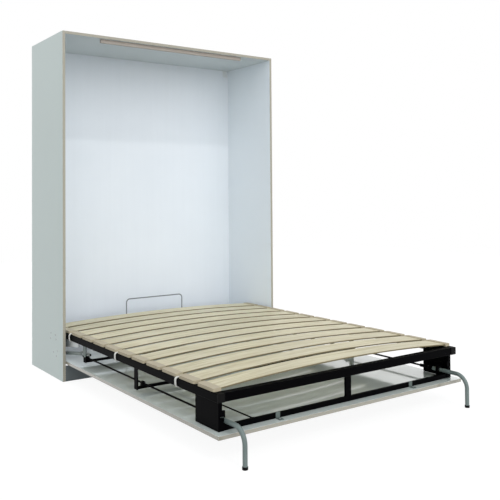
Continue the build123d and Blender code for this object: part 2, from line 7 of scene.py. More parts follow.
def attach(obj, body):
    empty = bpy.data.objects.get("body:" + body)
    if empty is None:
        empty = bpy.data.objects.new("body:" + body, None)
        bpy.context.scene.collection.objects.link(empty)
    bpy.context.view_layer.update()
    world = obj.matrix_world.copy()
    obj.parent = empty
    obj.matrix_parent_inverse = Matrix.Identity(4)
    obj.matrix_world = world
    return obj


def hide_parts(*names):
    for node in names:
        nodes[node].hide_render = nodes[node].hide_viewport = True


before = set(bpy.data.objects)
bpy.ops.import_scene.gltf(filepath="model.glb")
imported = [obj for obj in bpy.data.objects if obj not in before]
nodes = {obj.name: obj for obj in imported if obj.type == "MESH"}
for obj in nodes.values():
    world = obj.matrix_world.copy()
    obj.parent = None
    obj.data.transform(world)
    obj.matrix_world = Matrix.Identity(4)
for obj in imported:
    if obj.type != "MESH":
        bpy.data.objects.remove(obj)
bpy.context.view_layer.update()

scene = bpy.context.scene
wallY = 1.215  # Y of the wall, from which reaches are counted
white = (1.0, 1.0, 1.0, 1.0)


def shade(red, green, blue):  # display colour, 0 to 255
    def one(value):
        value /= 255
        return value / 12.92 if value <= 0.04045 else ((value + 0.055) / 1.055) ** 2.4
    return (one(red), one(green), one(blue), 1.0)


def place(tree, kind, **values):  # a node with its inputs set by name, or properties that start with p_
    node = tree.nodes.new(kind)
    for key, value in values.items():
        if key.startswith("p_"):
            setattr(node, key[2:], value)
        else:
            node.inputs[key.replace("_", " ")].default_value = value
    return node


def join(tree, source, target):
    tree.links.new(source, target)


def mathNode(tree, operation, first, second=None, clamp=False):
    node = tree.nodes.new("ShaderNodeMath")
    node.operation = operation
    node.use_clamp = clamp
    for index, value in enumerate((first, second)):
        if value is None:
            continue
        if isinstance(value, (int, float)):
            node.inputs[index].default_value = value
        else:
            join(tree, value, node.inputs[index])
    return node.outputs[0]


def mixColour(tree, factor, first, second, blend="MIX"):
    node = tree.nodes.new("ShaderNodeMix")
    node.data_type = "RGBA"
    node.blend_type = blend
    for value, index in ((factor, 0), (first, 6), (second, 7)):  # the colour sockets of this node
        if isinstance(value, (int, float, tuple)):
            node.inputs[index].default_value = value
        else:
            join(tree, value, node.inputs[index])
    return node.outputs[2]


def rangeOf(tree, value, low=0.0, high=1.0, start=0.0, stop=1.0):  # start to stop becomes low to high
    node = tree.nodes.new("ShaderNodeMapRange")
    for label, number in (("From Min", start), ("From Max", stop), ("To Min", low), ("To Max", high)):
        node.inputs[label].default_value = number
    join(tree, value, node.inputs["Value"])
    return node.outputs[0]


def axesOf(tree, vector):  # X, Y and Z of a vector
    node = tree.nodes.new("ShaderNodeSeparateXYZ")
    join(tree, vector, node.inputs[0])
    return node.outputs


def ramp(tree, factor, stops):
    node = tree.nodes.new("ShaderNodeValToRGB")
    while len(node.color_ramp.elements) < len(stops):
        node.color_ramp.elements.new(0.5)
    for element, (position, colour) in zip(node.color_ramp.elements, stops):
        element.position = position
        element.color = colour
    join(tree, factor, node.inputs["Fac"])
    return node.outputs["Color"]


def newTree(name, treeKind, inputs, outputs):
    tree = bpy.data.node_groups.new(name, treeKind)
    for label, kind, value in inputs:
        socket = tree.interface.new_socket(label, in_out="INPUT", socket_type="NodeSocket" + kind)
        if value is not None:
            socket.default_value = value
    for label, kind in outputs:
        tree.interface.new_socket(label, in_out="OUTPUT", socket_type="NodeSocket" + kind)
    return tree, tree.nodes.new("NodeGroupInput"), tree.nodes.new("NodeGroupOutput")


def newGroup(name, inputs, outputs):
    return newTree(name, "ShaderNodeTree", inputs, outputs)


def newObject(name, data):
    piece = bpy.data.objects.new(name, data)
    scene.collection.objects.link(piece)
    return piece


def plainMesh(name, build):  # a finished bmesh as mesh data, faces outwards
    bmesh.ops.recalc_face_normals(build, faces=build.faces)
    data = bpy.data.meshes.new(name)
    build.to_mesh(data)
    build.free()
    return data


def grainGroup():  # streaks along X, with pores and a slow change of tone
    tree, start, end = newGroup(
        "woodGrain",
        [
            ("Vector", "Vector", None), ("Length", "Float", 2.0), ("Across", "Float", 90.0),
            ("Pores", "Float", 0.4),
        ],
        [("Streak", "Float"), ("Pore", "Float"), ("Height", "Float")],
    )
    stretch = tree.nodes.new("ShaderNodeCombineXYZ")
    join(tree, start.outputs["Length"], stretch.inputs[0])
    join(tree, start.outputs["Across"], stretch.inputs[1])
    join(tree, start.outputs["Across"], stretch.inputs[2])
    scaled = place(tree, "ShaderNodeVectorMath", p_operation="MULTIPLY")
    join(tree, start.outputs["Vector"], scaled.inputs[0])
    join(tree, stretch.outputs[0], scaled.inputs[1])
    streak = place(tree, "ShaderNodeTexNoise", Scale=1.0, Detail=5.0, Roughness=0.6, Distortion=0.6)
    fine = place(tree, "ShaderNodeTexNoise", Scale=6.0, Detail=3.0, Roughness=0.7)
    join(tree, scaled.outputs[0], streak.inputs["Vector"])
    join(tree, scaled.outputs[0], fine.inputs["Vector"])
    pore = rangeOf(tree, fine.outputs["Fac"], start=0.62, stop=0.75)
    pores = mathNode(tree, "MULTIPLY", pore, start.outputs["Pores"])
    join(tree, streak.outputs["Fac"], end.inputs["Streak"])
    join(tree, pores, end.inputs["Pore"])
    join(tree, mathNode(tree, "SUBTRACT", streak.outputs["Fac"], pores), end.inputs["Height"])
    return tree


def facingGroup():  # how far a face looks along the X and Y axes of its own object
    axes = ("AlongX", "AlongY")
    tree, start, end = newGroup("faceAxes", [], [(label, "Float") for label in axes])
    surface = tree.nodes.new("ShaderNodeNewGeometry")
    turned = place(
        tree, "ShaderNodeVectorTransform",
        p_vector_type="NORMAL", p_convert_from="WORLD", p_convert_to="OBJECT",
    )
    join(tree, surface.outputs["True Normal"], turned.inputs[0])
    for part, label in zip(axesOf(tree, turned.outputs[0]), axes):
        size = mathNode(tree, "ABSOLUTE", part)
        join(tree, rangeOf(tree, size, start=0.6, stop=0.8), end.inputs[label])
    return tree


def mottleGroup():  # slow clouds, fine speckle and the height of a sprayed or pressed skin
    tree, start, end = newGroup(
        "skinMottle",
        [("Vector", "Vector", None), ("Clouds", "Float", 3.0), ("Skin", "Float", 700.0)],
        [("Cloud", "Float"), ("Speckle", "Float"), ("Height", "Float")],
    )
    cloud = place(tree, "ShaderNodeTexNoise", Detail=3.0, Roughness=0.55)
    speck = place(tree, "ShaderNodeTexNoise", Detail=2.0, Roughness=0.5)
    join(tree, start.outputs["Vector"], cloud.inputs["Vector"])
    join(tree, start.outputs["Vector"], speck.inputs["Vector"])
    join(tree, start.outputs["Clouds"], cloud.inputs["Scale"])
    join(tree, start.outputs["Skin"], speck.inputs["Scale"])
    join(tree, cloud.outputs["Fac"], end.inputs["Cloud"])
    join(tree, speck.outputs["Fac"], end.inputs["Speckle"])
    join(tree, speck.outputs["Fac"], end.inputs["Height"])
    return tree


def wearGroup():  # a mask along the edges of a piece, broken up by noise, with a rounded normal
    tree, start, end = newGroup(
        "edgeWear",
        [
            ("Vector", "Vector", None), ("Radius", "Float", 0.0012), ("Breaks", "Float", 60.0),
            ("Strength", "Float", 3.0),
        ],
        [("Mask", "Float"), ("Normal", "Vector")],
    )
    rounded = place(tree, "ShaderNodeBevel", p_samples=4)
    surface = tree.nodes.new("ShaderNodeNewGeometry")
    join(tree, start.outputs["Radius"], rounded.inputs["Radius"])
    dot = place(tree, "ShaderNodeVectorMath", p_operation="DOT_PRODUCT")
    join(tree, rounded.outputs[0], dot.inputs[0])
    join(tree, surface.outputs["Normal"], dot.inputs[1])
    edge = mathNode(tree, "SUBTRACT", 1.0, dot.outputs["Value"], clamp=True)
    broken = place(tree, "ShaderNodeTexNoise", Detail=4.0, Roughness=0.65)
    join(tree, start.outputs["Vector"], broken.inputs["Vector"])
    join(tree, start.outputs["Breaks"], broken.inputs["Scale"])
    strong = mathNode(tree, "MULTIPLY", edge, start.outputs["Strength"])
    join(tree, mathNode(tree, "MULTIPLY", strong, broken.outputs["Fac"], clamp=True), end.inputs["Mask"])
    join(tree, rounded.outputs[0], end.inputs["Normal"])
    return tree


def weaveGroup():  # crossing ribs of a woven tape on its UV map
    tree, start, end = newGroup(
        "tapeWeave",
        [("Vector", "Vector", None), ("Ribs", "Float", 900.0)],
        [("Mask", "Float"), ("Height", "Float")],
    )
    waves = []
    for part in axesOf(tree, start.outputs["Vector"])[:2]:
        angle = mathNode(tree, "MULTIPLY", part, start.outputs["Ribs"])
        waves.append(mathNode(tree, "SINE", angle))
    crossed = mathNode(tree, "MULTIPLY", *waves)
    lifted = rangeOf(tree, crossed, start=-1.0)
    join(tree, lifted, end.inputs["Mask"])
    join(tree, lifted, end.inputs["Height"])
    return tree


groups = {
    "grain": grainGroup(),
    "facing": facingGroup(),
    "mottle": mottleGroup(),
    "wear": wearGroup(),
    "weave": weaveGroup(),
}
print("shader groups built:", len(groups))


def newMaterial(name, roughness, metallic=0.0, coat=0.0):
    material = bpy.data.materials.new(name)
    material.use_nodes = True
    tree = material.node_tree
    surface = tree.nodes["Principled BSDF"]
    surface.inputs["Roughness"].default_value = roughness
    surface.inputs["Metallic"].default_value = metallic
    surface.inputs["Coat Weight"].default_value = coat
    where = tree.nodes.new("ShaderNodeTexCoord")
    return material, tree, surface, where


def useGroup(tree, name, vector=None, **values):
    node = tree.nodes.new("ShaderNodeGroup")
    node.node_tree = groups[name]
    for key, value in values.items():
        node.inputs[key].default_value = value
    if vector is not None:
        join(tree, vector, node.inputs["Vector"])
    return node


def addBump(tree, surface, height, strength, distance, normal=None):
    bump = place(tree, "ShaderNodeBump", Strength=strength, Distance=distance)
    join(tree, height, bump.inputs["Height"])
    if normal is not None:
        join(tree, normal, bump.inputs["Normal"])
    join(tree, bump.outputs[0], surface.inputs["Normal"])


def edgeMask(tree, edgeFaces):  # 1 on the faces that look along the axes named
    facing = useGroup(tree, "facing")
    mask = 0.0
    for label in edgeFaces:
        mask = mathNode(tree, "MAXIMUM", mask, facing.outputs[label])
    return mask


def useSkin(tree, spot, settings, skin):  # the clouds and the worn edges of a flat finish
    mottle = useGroup(tree, "mottle", spot, Clouds=settings["clouds"], Skin=skin)
    wear = useGroup(tree, "wear", spot, Radius=settings["wearRadius"], Breaks=settings["wearBreaks"])
    return mottle, wear


def finishSkin(tree, surface, settings, roughness, change, height, normal):  # its gloss and its relief
    low, high = settings["roughRange"]
    join(tree, rangeOf(tree, change, roughness + low, roughness + high), surface.inputs["Roughness"])
    addBump(tree, surface, height, settings["bump"], settings["bumpDepth"], normal)


boardLook = {
    "edge": shade(178, 174, 160),
    "edgeDark": shade(150, 146, 132),
    "clouds": 2.2,
    "skin": 420.0,
    "wearRadius": 0.0015,
    "wearBreaks": 30.0,
    "stripeLength": 0.7,
    "stripeAcross": 28.0,
    "roughRange": (-0.04, 0.06),
    "bump": 0.06,
    "bumpDepth": 0.0004,
    "polish": 0.05,
    "outer": 0.82,  # a side panel's outer face, with its painted shade, lies beyond this
}


# pressed board: clouded face, tan edge band, faint stripes and, where asked, darker tones on the outer face
# as painted shade
def boardMaterial(name, face, dull, edgeFaces=(), stripes=0.0, shine=0.4, coat=0.04, shadedOutside=None):
    material, tree, surface, where = newMaterial(name, shine, coat=coat)
    surface.inputs["Coat Roughness"].default_value = boardLook["polish"]
    spot = where.outputs["Object"]
    mottle, edges = useSkin(tree, spot, boardLook, boardLook["skin"])
    colour = mixColour(tree, mottle.outputs["Cloud"], dull, face)
    if shadedOutside is not None:
        reach = mathNode(tree, "ABSOLUTE", axesOf(tree, spot)[0])
        beyond = mathNode(tree, "GREATER_THAN", reach, boardLook["outer"])
        shadedOuter = mixColour(tree, mottle.outputs["Cloud"], *shadedOutside)  # painted shade of the outer face: its dull tone, then its face tone
        colour = mixColour(tree, beyond, colour, shadedOuter)
    if stripes:
        turn = place(tree, "ShaderNodeMapping", Rotation=(0.0, math.pi / 2, 0.0))  # stripes run up the board
        join(tree, spot, turn.inputs["Vector"])
        grain = useGroup(
            tree, "grain", turn.outputs[0],
            Length=boardLook["stripeLength"], Across=boardLook["stripeAcross"], Pores=0.0,
        )
        tone = rangeOf(tree, grain.outputs["Streak"], 1.0 - stripes, 1.0 + stripes / 2)
        colour = mixColour(tree, 1.0, colour, tone, "MULTIPLY")
    if edgeFaces:
        band = mixColour(tree, mottle.outputs["Speckle"], boardLook["edgeDark"], boardLook["edge"])
        colour = mixColour(tree, edgeMask(tree, edgeFaces), colour, band)
    join(tree, colour, surface.inputs["Base Color"])
    change, height = mottle.outputs["Cloud"], mottle.outputs["Height"]
    finishSkin(tree, surface, boardLook, shine, change, height, edges.outputs["Normal"])
    return material


slatLook = {
    "pale": shade(221, 214, 185),
    "warm": shade(193, 181, 141),
    "pore": shade(158, 140, 100),
    # edge and layer tones are darker than the ply: painted shade in the gaps between slats
    "edge": shade(142, 130, 98),
    "layer": shade(92, 82, 58),
    "pitch": 0.166,
    "first": 0.912,  # Y just on the head side of the first slat
    "roughness": 0.5,
    "coat": 0.05,
    "apart": (7.0, 3.0, 5.0),  # how far the pattern moves from slat to slat
    "grainLength": 2.4,
    "grainAcross": 70.0,
    "pores": 0.5,
    "stops": (0.34, 0.6),
    "clouds": 3.2,
    "cloudSkin": 90.0,
    "slatTones": (0.93, 1.05),
    "cloudTones": (0.8, 1.14),
    "layers": 900.0,  # how close the ply layers lie on an edge
    "layerMix": 0.9,
    "bump": 0.12,
    "bumpDepth": 0.0006,
}


def slatMaterial():  # birch ply: long grain on the faces, ply layers on the edges darkened as painted shade between slats, each slat a little different
    material, tree, surface, where = newMaterial("birchSlat", slatLook["roughness"], coat=slatLook["coat"])
    spot = where.outputs["Object"]
    y, z = axesOf(tree, spot)[1:]
    along = mathNode(tree, "SUBTRACT", slatLook["first"], y)
    number = mathNode(tree, "FLOOR", mathNode(tree, "DIVIDE", along, slatLook["pitch"]))
    seed = place(tree, "ShaderNodeTexWhiteNoise", p_noise_dimensions="1D")
    join(tree, number, seed.inputs["W"])
    shift = place(tree, "ShaderNodeVectorMath", p_operation="MULTIPLY_ADD")
    join(tree, seed.outputs["Color"], shift.inputs[0])
    shift.inputs[1].default_value = slatLook["apart"]
    join(tree, spot, shift.inputs[2])
    grain = useGroup(
        tree, "grain", shift.outputs[0],
        Length=slatLook["grainLength"], Across=slatLook["grainAcross"], Pores=slatLook["pores"],
    )
    stops = list(zip(slatLook["stops"], (slatLook["warm"], slatLook["pale"])))
    colour = ramp(tree, grain.outputs["Streak"], stops)
    colour = mixColour(tree, grain.outputs["Pore"], colour, slatLook["pore"])
    clouds = useGroup(tree, "mottle", shift.outputs[0], Clouds=slatLook["clouds"], Skin=slatLook["cloudSkin"])
    slatTone = rangeOf(tree, seed.outputs["Value"], *slatLook["slatTones"])
    cloudTone = rangeOf(tree, clouds.outputs["Cloud"], *slatLook["cloudTones"])
    colour = mixColour(tree, 1.0, colour, mathNode(tree, "MULTIPLY", slatTone, cloudTone), "MULTIPLY")
    # the dark edge band is partly ply layers, partly painted shade between slats
    layers = place(tree, "ShaderNodeTexNoise", p_noise_dimensions="1D", Scale=1.0, Detail=1.0)
    join(tree, mathNode(tree, "MULTIPLY", z, slatLook["layers"]), layers.inputs["W"])
    layer = rangeOf(tree, layers.outputs["Fac"], high=slatLook["layerMix"])
    band = mixColour(tree, layer, slatLook["edge"], slatLook["layer"])
    colour = mixColour(tree, edgeMask(tree, ["AlongX", "AlongY"]), colour, band)
    join(tree, colour, surface.inputs["Base Color"])
    addBump(tree, surface, grain.outputs["Height"], slatLook["bump"], slatLook["bumpDepth"])
    return material


coatLook = {
    "clouds": 7.0,
    "wearRadius": 0.001,
    "wearBreaks": 80.0,
    "roughRange": (-0.08, 0.1),
    "bump": 0.12,
    "bumpDepth": 0.0003,
}


# paint, plate or plastic: deep and lit tones in clouds, a worn tone along the edges
def coatedMaterial(name, deep, lit, worn, wear, roughness, metallic=0.0, skin=900.0, gloss=0.5):
    material, tree, surface, where = newMaterial(name, roughness, metallic)
    surface.inputs["Specular IOR Level"].default_value = gloss
    spot = where.outputs["Object"]
    mottle, edges = useSkin(tree, spot, coatLook, skin)
    colour = mixColour(tree, mottle.outputs["Cloud"], deep, lit)
    colour = mixColour(tree, mathNode(tree, "MULTIPLY", edges.outputs["Mask"], wear), colour, worn)
    join(tree, colour, surface.inputs["Base Color"])
    change, height = mottle.outputs["Speckle"], mottle.outputs["Height"]
    finishSkin(tree, surface, coatLook, roughness, change, height, edges.outputs["Normal"])
    return material


webbingLook = {
    # the dip tone is painted shade in the hollows of the weave; the crown is the tape's own white
    "shadedValley": shade(206, 205, 198),
    "crown": shade(243, 243, 238),
    "roughness": 0.85,
    "ribs": 2600.0,
    "sheen": 0.2,
    "bump": 0.5,
    "bumpDepth": 0.0005,
}


def webbingMaterial():
    material, tree, surface, where = newMaterial("whiteWebbing", webbingLook["roughness"])
    weave = useGroup(tree, "weave", where.outputs["UV"], Ribs=webbingLook["ribs"])
    colour = mixColour(tree, weave.outputs["Mask"], webbingLook["shadedValley"], webbingLook["crown"])
    join(tree, colour, surface.inputs["Base Color"])
    surface.inputs["Sheen Weight"].default_value = webbingLook["sheen"]
    addBump(tree, surface, weave.outputs["Height"], webbingLook["bump"], webbingLook["bumpDepth"])
    return material


looks = {
    "sideBoard": boardMaterial(
        "whiteBoardSide", face=shade(239, 246, 251), dull=shade(232, 240, 246), edgeFaces=["AlongY"],
        # the outer face's darker, greener tones are painted shade
        shadedOutside=(shade(206, 219, 216), shade(214, 227, 224)),
    ),
    # the top board's darker tones are painted shade of its underside
    "shadedTopBoard": boardMaterial(
        "shadedWhiteBoardTop", face=shade(218, 226, 228), dull=shade(208, 216, 218), edgeFaces=["AlongY"],
    ),
    "backBoard": boardMaterial(
        "whiteBoardBack", face=shade(232, 238, 244), dull=shade(222, 229, 236), stripes=0.03,
    ),
    # the plinth's dark tones are painted shade: it stands in the shadow under the door
    "plinth": boardMaterial("shadowedPlinthBoard", face=shade(92, 100, 102), dull=shade(78, 86, 88)),
    "batten": boardMaterial("tanBoardBatten", face=shade(182, 172, 162), dull=shade(158, 147, 138)),
    "door": boardMaterial(
        "whiteBoardDoor", face=shade(232, 241, 238), dull=shade(224, 235, 231),
        edgeFaces=["AlongX", "AlongY"], shine=0.12, coat=1.0,
    ),
    "slat": slatMaterial(),
    "blackSteel": coatedMaterial(
        "blackPowderCoat", deep=shade(2, 2, 3), lit=shade(5, 5, 7), worn=shade(30, 31, 34),
        wear=0.15, roughness=0.42, gloss=0.02,
    ),
    "blackPlastic": coatedMaterial(
        "blackPlastic", deep=shade(6, 6, 6), lit=shade(12, 12, 12), worn=shade(36, 35, 34),
        wear=0.2, roughness=0.5, gloss=0.1,
    ),
    "cap": coatedMaterial(
        "taupeCap", deep=shade(174, 163, 138), lit=shade(190, 179, 154), worn=shade(206, 196, 172),
        wear=0.3, roughness=0.55,
    ),
    "leg": coatedMaterial(
        "paleLegPaint", deep=shade(102, 116, 114), lit=shade(124, 137, 135), worn=shade(190, 198, 196),
        wear=0.3, roughness=0.34, metallic=0.2,
    ),
    "zinc": coatedMaterial(
        "zincPlate", deep=shade(160, 165, 168), lit=shade(196, 200, 200), worn=shade(222, 222, 220),
        wear=0.3, roughness=0.36, metallic=0.7, skin=260.0,
    ),
    "hoop": coatedMaterial(
        "greyWire", deep=shade(104, 110, 114), lit=shade(126, 131, 134), worn=shade(160, 163, 165),
        wear=0.3, roughness=0.4,
    ),
    "spring": coatedMaterial(
        "greyCylinderPaint", deep=shade(120, 130, 127), lit=shade(146, 156, 152), worn=shade(176, 182, 179),
        wear=0.3, roughness=0.32,
    ),
    "tab": coatedMaterial(
        "darkZincTab", deep=shade(88, 100, 98), lit=shade(112, 123, 120), worn=shade(150, 156, 154),
        wear=0.3, roughness=0.45, metallic=0.3,
    ),
    "bracket": coatedMaterial(
        "whiteBracketPaint", deep=shade(214, 220, 223), lit=shade(226, 231, 233), worn=shade(236, 238, 239),
        wear=0.3, roughness=0.45,
    ),
    "webbing": webbingMaterial(),
    "thread": coatedMaterial(
        "whiteThread", deep=shade(214, 214, 208), lit=shade(236, 236, 230), worn=shade(240, 240, 236),
        wear=0.2, roughness=0.8,
    ),
}
bySlot = {  # finish for each material slot of the record
    "slat_wood": "slat",
    "black_steel": "blackSteel",
    "black_plastic": "blackPlastic",
    "slat_cap": "cap",
    "leg_steel": "leg",
    "zinc_steel": "zinc",
    "spring_paint": "spring",
    "white_webbing": "webbing",
}
byNode = {  # finish for the nodes that differ from their slot
    "side_panel_left": "sideBoard",
    "side_panel_right": "sideBoard",
    "top_panel": "shadedTopBoard",
    "back_panel": "backBoard",
    "plinth_board": "plinth",
    "top_batten": "batten",
    "door_panel": "door",
    "mattress_hoop": "hoop",
    "wall_brackets": "bracket",
    "door_brackets": "tab",
    "spring_brackets": "tab",
    "leg_coupling_left": "blackSteel",
    "leg_coupling_right": "blackSteel",
}
for name, piece in nodes.items():
    for holder in piece.material_slots:
        key = byNode.get(name) or bySlot[holder.material.name.split(".")[0]]
        holder.material = looks[key]
print("materials placed on", len(nodes), "nodes")


def finishPiece(name, mesh, body, replaced, look):
    piece = newObject(name, mesh)
    if not mesh.materials:
        mesh.materials.append(looks[look])
    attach(piece, body)
    if replaced:
        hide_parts(*replaced)
    return piece


strap = {
    "reaches": (0.616, 1.280, 1.944),  # out from the wall
    "railX": 0.772,
    "railZ": 0.278,
    "wide": 0.0265,  # half of the loop's width
    "tall": 0.0228,  # half of its height
    "square": 3.6,  # 2 is an ellipse, more is squarer
    "lean": 0.002,  # along the rail, at the top of the loop
    "width": 0.018,
    "thickness": 0.0016,
    "rim": 0.94,  # where the tape thins towards its edges, across its half width
    "rimThin": 0.35,
    "steps": 64,
    "overlap": (44, 58),  # steps on the underside where the tape is sewn on itself
}


def strapPoint(sign, step, grow=0.0):  # a rounded loop round the rail
    angle = 2 * math.pi * step / strap["steps"]
    power = 2 / strap["square"]
    side, rise = math.cos(angle), math.sin(angle)
    x = (strap["wide"] + grow) * math.copysign(abs(side) ** power, side)
    z = (strap["tall"] + grow) * math.copysign(abs(rise) ** power, rise)
    return sign * (strap["railX"] + x), strap["railZ"] + z


def strapLean(z):  # the loop leans a little along the rail
    return strap["lean"] * (z - strap["railZ"]) / strap["tall"]


def ribbon(mesh, uvLayer, path, closed, middleY):  # a flat tape along a path in the XZ plane
    count = len(path)
    rim, half = strap["rim"], strap["width"] / 2
    section = ((-1, -1), (-rim, -1), (rim, -1), (1, -1), (1, 1), (rim, 1), (-rim, 1), (-1, 1))
    lengths = [0.0]
    for index in range(1, count + 1):
        lengths.append(lengths[-1] + math.dist(path[index - 1], path[index % count]))
    rings = []
    for index, (x, z) in enumerate(path):
        before = path[index - 1] if closed or index else path[index]
        after = path[(index + 1) % count] if closed or index < count - 1 else path[index]
        run = Vector((after[0] - before[0], after[1] - before[1])).normalized()
        side = Vector((-run.y, run.x)) * strap["thickness"] / 2
        y = middleY + strapLean(z)
        ring = []
        for across, lift in section:
            lift *= strap["rimThin"] if abs(across) == 1 else 1.0
            ring.append(mesh.verts.new((x + side.x * lift, y + across * half, z + side.y * lift)))
        rings.append(ring)
    for index in range(count if closed else count - 1):
        first, second = rings[index], rings[(index + 1) % count]
        for corner in range(len(section)):
            after = (corner + 1) % len(section)
            face = mesh.faces.new((first[corner], first[after], second[after], second[corner]))
            face.smooth = True
            for loop in face.loops:
                far = loop.vert in second
                loop[uvLayer].uv = (lengths[index + 1] if far else lengths[index], loop.vert.co.y - middleY)
    if not closed:
        mesh.faces.new(rings[0])
        mesh.faces.new(list(reversed(rings[-1])))


def makeStraps():
    mesh = bmesh.new()
    uvLayer = mesh.loops.layers.uv.new("tape")
    for reach in strap["reaches"]:
        for sign in (-1, 1):
            middleY = wallY - reach
            ribbon(mesh, uvLayer, [strapPoint(sign, step) for step in range(strap["steps"])], True, middleY)
            layer = [strapPoint(sign, step, strap["thickness"]) for step in range(*strap["overlap"])]
            ribbon(mesh, uvLayer, layer, False, middleY)
    data = plainMesh("webbingStraps", mesh)
    return finishPiece("webbingStraps", data, "bed", ["mattress_straps"], "webbing")


makeStraps()
print("straps made")


def geometryTree(name, inputs):
    return newTree(
        name, "GeometryNodeTree", [("Geometry", "Geometry", None)] + inputs, [("Geometry", "Geometry")]
    )


def chance(tree, seed, high, low=None):  # a random number up to high, from low or from 0
    node = tree.nodes.new("FunctionNodeRandomValue")
    lowest, highest = [socket for socket in node.inputs if socket.type == "VALUE"][:2]
    join(tree, seed, node.inputs["Seed"])
    join(tree, high, highest)
    if low is not None:
        join(tree, low, lowest)
    return next(socket for socket in node.outputs if socket.type == "VALUE")


def closeTree(tree, instances, start, end):  # realize, then give the copies their material
    real = tree.nodes.new("GeometryNodeRealizeInstances")
    paint = tree.nodes.new("GeometryNodeSetMaterial")
    join(tree, instances, real.inputs[0])
    join(tree, real.outputs[0], paint.inputs["Geometry"])
    join(tree, start.outputs["Material"], paint.inputs["Material"])
    join(tree, paint.outputs[0], end.inputs[0])


def copyTree():  # one copy of an object on each point, turned by the point and spun at random
    tree, start, end = geometryTree("placeCopies", [
        ("Copy", "Object", None), ("Spin", "Float", 0.0), ("Seed", "Int", 3), ("Material", "Material", None),
    ])
    points = tree.nodes.new("GeometryNodeMeshToPoints")
    copy = tree.nodes.new("GeometryNodeObjectInfo")
    copies = tree.nodes.new("GeometryNodeInstanceOnPoints")
    turn = tree.nodes.new("GeometryNodeInputNamedAttribute")
    turn.data_type = "FLOAT_VECTOR"
    turn.inputs["Name"].default_value = "turn"
    toTurn = tree.nodes.new("FunctionNodeEulerToRotation")
    spin = tree.nodes.new("ShaderNodeCombineXYZ")
    toSpin = tree.nodes.new("FunctionNodeEulerToRotation")
    both = tree.nodes.new("FunctionNodeRotateRotation")
    both.rotation_space = "LOCAL"
    join(tree, start.outputs["Geometry"], points.inputs["Mesh"])
    join(tree, points.outputs[0], copies.inputs["Points"])
    join(tree, start.outputs["Copy"], copy.inputs["Object"])
    join(tree, copy.outputs["Geometry"], copies.inputs["Instance"])
    join(tree, chance(tree, start.outputs["Seed"], start.outputs["Spin"]), spin.inputs["Z"])
    join(tree, turn.outputs["Attribute"], toTurn.inputs[0])
    join(tree, spin.outputs[0], toSpin.inputs[0])
    join(tree, toTurn.outputs[0], both.inputs[0])
    join(tree, toSpin.outputs[0], both.inputs[1])
    join(tree, both.outputs[0], copies.inputs["Rotation"])
    closeTree(tree, copies.outputs[0], start, end)
    return tree


def beadTree():  # overlapping drops along a seam
    tree, start, end = geometryTree("weldBead", [
        ("Radius", "Float", 0.002), ("Spacing", "Float", 0.0025), ("Smallest", "Float", 0.75),
        ("Largest", "Float", 1.15), ("Seed", "Int", 5), ("Material", "Material", None),
    ])
    path = tree.nodes.new("GeometryNodeMeshToCurve")
    even = tree.nodes.new("GeometryNodeResampleCurve")
    even.mode = "LENGTH"
    drop = tree.nodes.new("GeometryNodeMeshIcoSphere")
    drop.inputs["Subdivisions"].default_value = 2
    copies = tree.nodes.new("GeometryNodeInstanceOnPoints")
    size = chance(tree, start.outputs["Seed"], start.outputs["Largest"], start.outputs["Smallest"])
    smooth = tree.nodes.new("GeometryNodeSetShadeSmooth")
    join(tree, start.outputs["Geometry"], path.inputs["Mesh"])
    join(tree, path.outputs[0], even.inputs["Curve"])
    join(tree, start.outputs["Spacing"], even.inputs["Length"])
    join(tree, start.outputs["Radius"], drop.inputs["Radius"])
    join(tree, even.outputs[0], copies.inputs["Points"])
    join(tree, drop.outputs["Mesh"], smooth.inputs["Geometry"])
    join(tree, smooth.outputs[0], copies.inputs["Instance"])
    join(tree, size, copies.inputs["Scale"])
    closeTree(tree, copies.outputs[0], start, end)
    return tree


trees = {"copies": copyTree(), "bead": beadTree()}


def growMesh(name, base, treeName, **values):  # run a tree on a base mesh and keep the result as a plain mesh
    carrier = newObject(name + "Base", base)
    modifier = carrier.modifiers.new("grow", "NODES")
    modifier.node_group = trees[treeName]
    for item in trees[treeName].interface.items_tree:
        if item.in_out == "INPUT" and item.name in values:
            modifier[item.identifier] = values[item.name]
    graph = bpy.context.evaluated_depsgraph_get()
    mesh = bpy.data.meshes.new_from_object(carrier.evaluated_get(graph), depsgraph=graph)
    mesh.name = name
    carrier.modifiers.remove(modifier)
    bpy.data.objects.remove(carrier)
    return mesh


def pointMesh(name, places):  # points with a turn each
    mesh = bpy.data.meshes.new(name)
    mesh.from_pydata([spot for spot, turn in places], [], [])
    attribute = mesh.attributes.new("turn", "FLOAT_VECTOR", "POINT")
    for item, (spot, turn) in zip(attribute.data, places):
        item.vector = turn
    return mesh


crossSlot = {"halfAngle": 0.22, "waist": 0.36}


def ringShape(kind, radius, angle):  # reach of a round, six-sided or cross-slotted ring at an angle
    if kind == "hex":
        return radius / math.cos((angle + math.pi / 6) % (math.pi / 3) - math.pi / 6)
    if kind == "cross":
        near = abs((angle + math.pi / 4) % (math.pi / 2) - math.pi / 4)
        return radius if near < crossSlot["halfAngle"] else radius * crossSlot["waist"]
    return radius


def turnedObject(name, rings, steps=24):  # rings of (shape, radius, height) from the tip of the head down
    mesh = bmesh.new()
    rows = []
    for kind, radius, height in rings:
        row = []
        for step in range(steps):
            angle = 2 * math.pi * step / steps
            size = ringShape(kind, radius, angle)
            row.append(mesh.verts.new((size * math.cos(angle), size * math.sin(angle), height)))
        rows.append(row)
    for first, second in zip(rows, rows[1:]):
        for step in range(steps):
            after = (step + 1) % steps
            mesh.faces.new((first[step], second[step], second[after], first[after]))
    mesh.faces.new(rows[0])
    mesh.faces.new(list(reversed(rows[-1])))
    return bpy.data.objects.new(name, plainMesh(name, mesh))


def spreadCopies(name, places, copy, settings, look):  # a copy on each place, as one mesh
    mesh = growMesh(
        name, pointMesh(name + "Points", places), "copies",
        Copy=copy, Spin=settings["spin"], Seed=settings["seed"], Material=looks[look],
    )
    bpy.data.objects.remove(copy)
    return mesh


